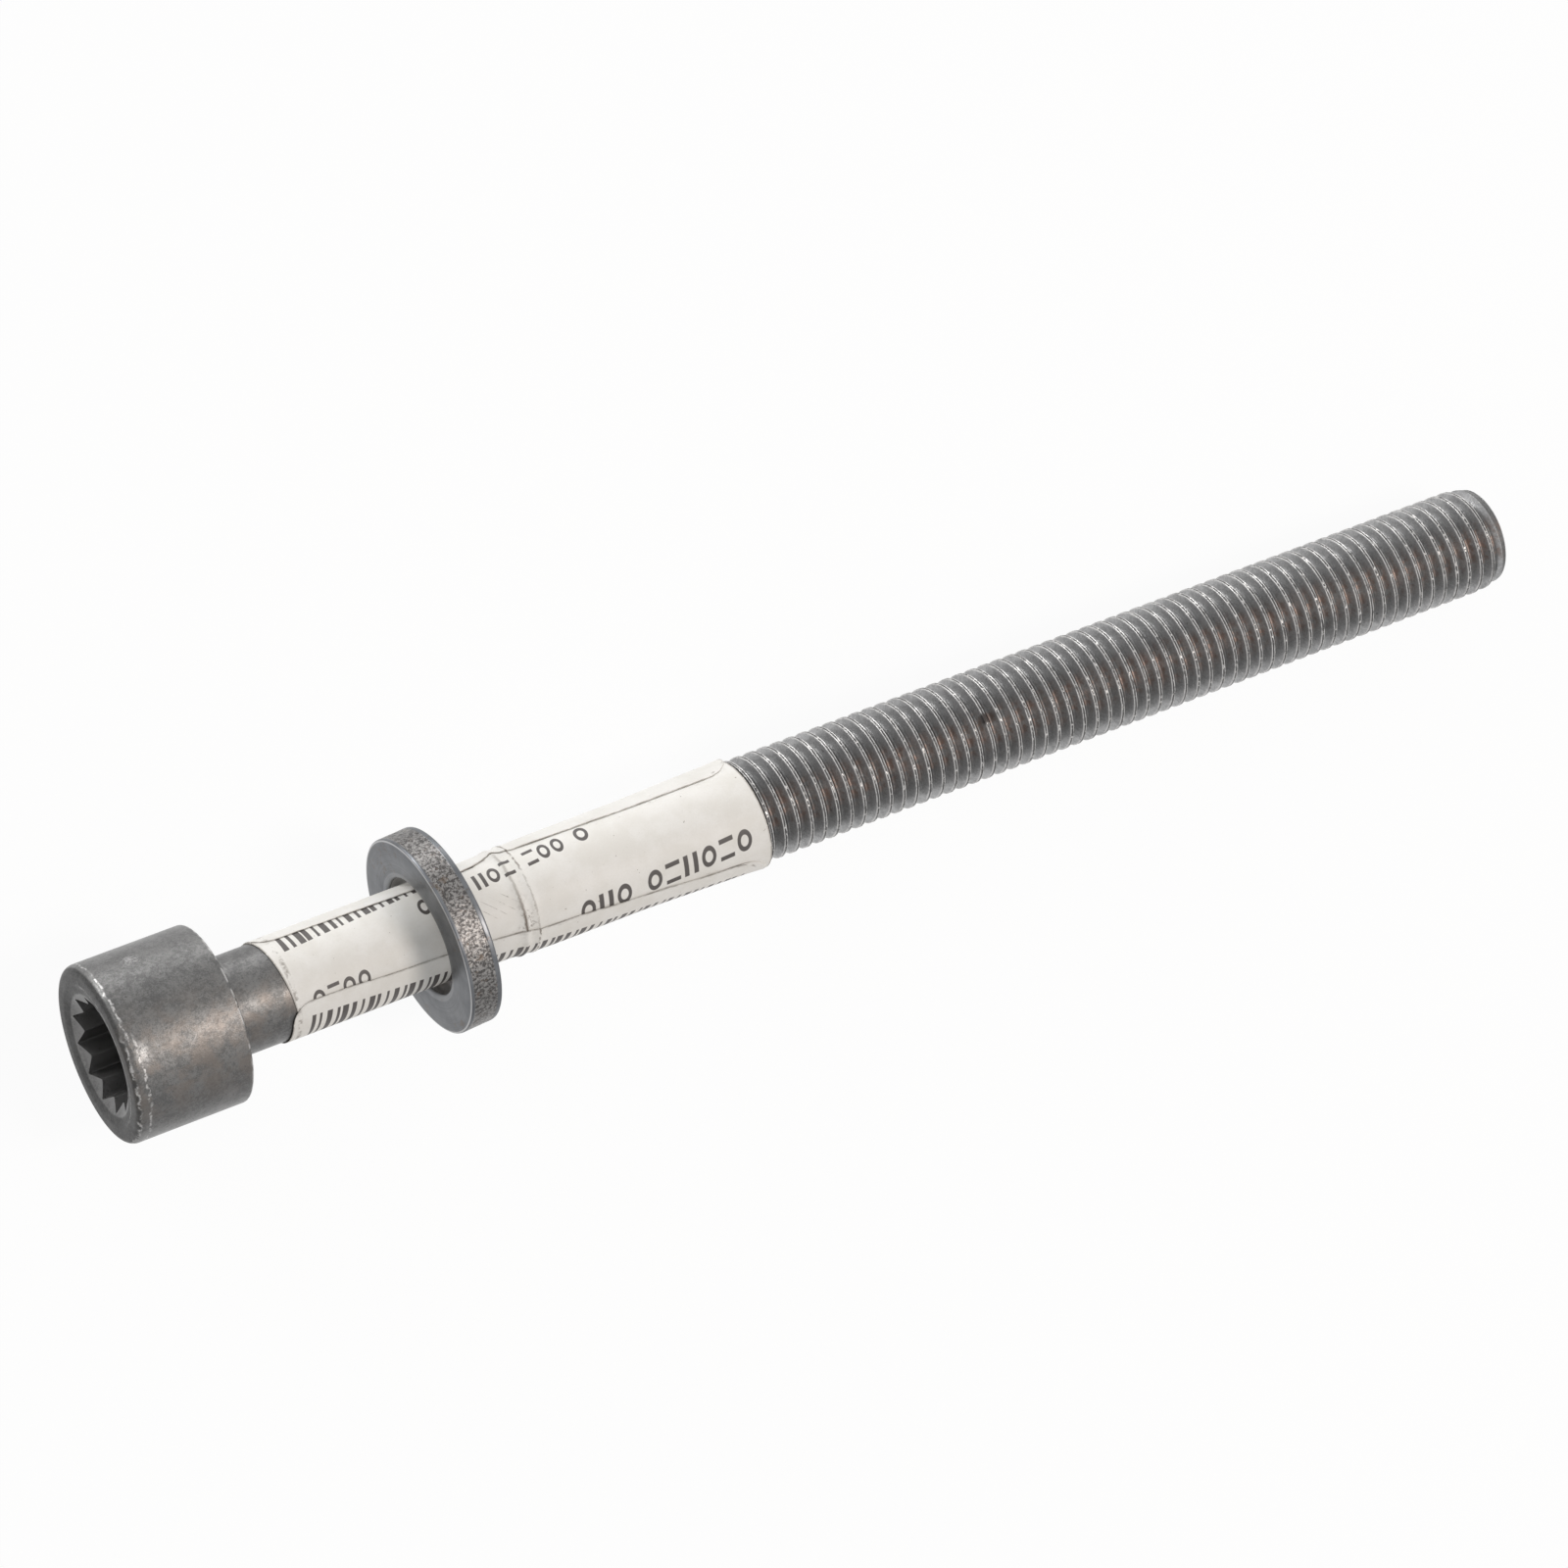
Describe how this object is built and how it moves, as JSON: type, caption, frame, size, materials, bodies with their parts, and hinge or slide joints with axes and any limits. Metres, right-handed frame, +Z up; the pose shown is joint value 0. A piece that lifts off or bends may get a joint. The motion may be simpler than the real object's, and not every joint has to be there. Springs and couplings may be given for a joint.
{
  "type": "cylinder head bolt",
  "caption": "Long cylinder head bolt with a twelve point socket, bare shank, fine rolled thread, a loose thick washer and paper labels round the shank.",
  "frame": {"origin": "on the ground, under the centre of the box round the whole part as it lies at rest", "axes": "+X along the bolt from its head towards its tip, level with the ground, and +Z up; the bolt's own axis slopes 1.8 degrees down towards the tip"},
  "size_m": [0.1586, 0.0204, 0.0204],
  "materials": {
    "bolt_steel": "dark phosphated steel, worn",
    "washer_steel": "plain turned steel with a pitted rim",
    "label_paper": "matt off-white paper, slightly soiled"
  },
  "bodies": {
    "root": {"bolt": "bolt_steel", "washer": "washer_steel", "front_label": "label_paper", "back_label": "label_paper"}
  },
  "joints": []
}
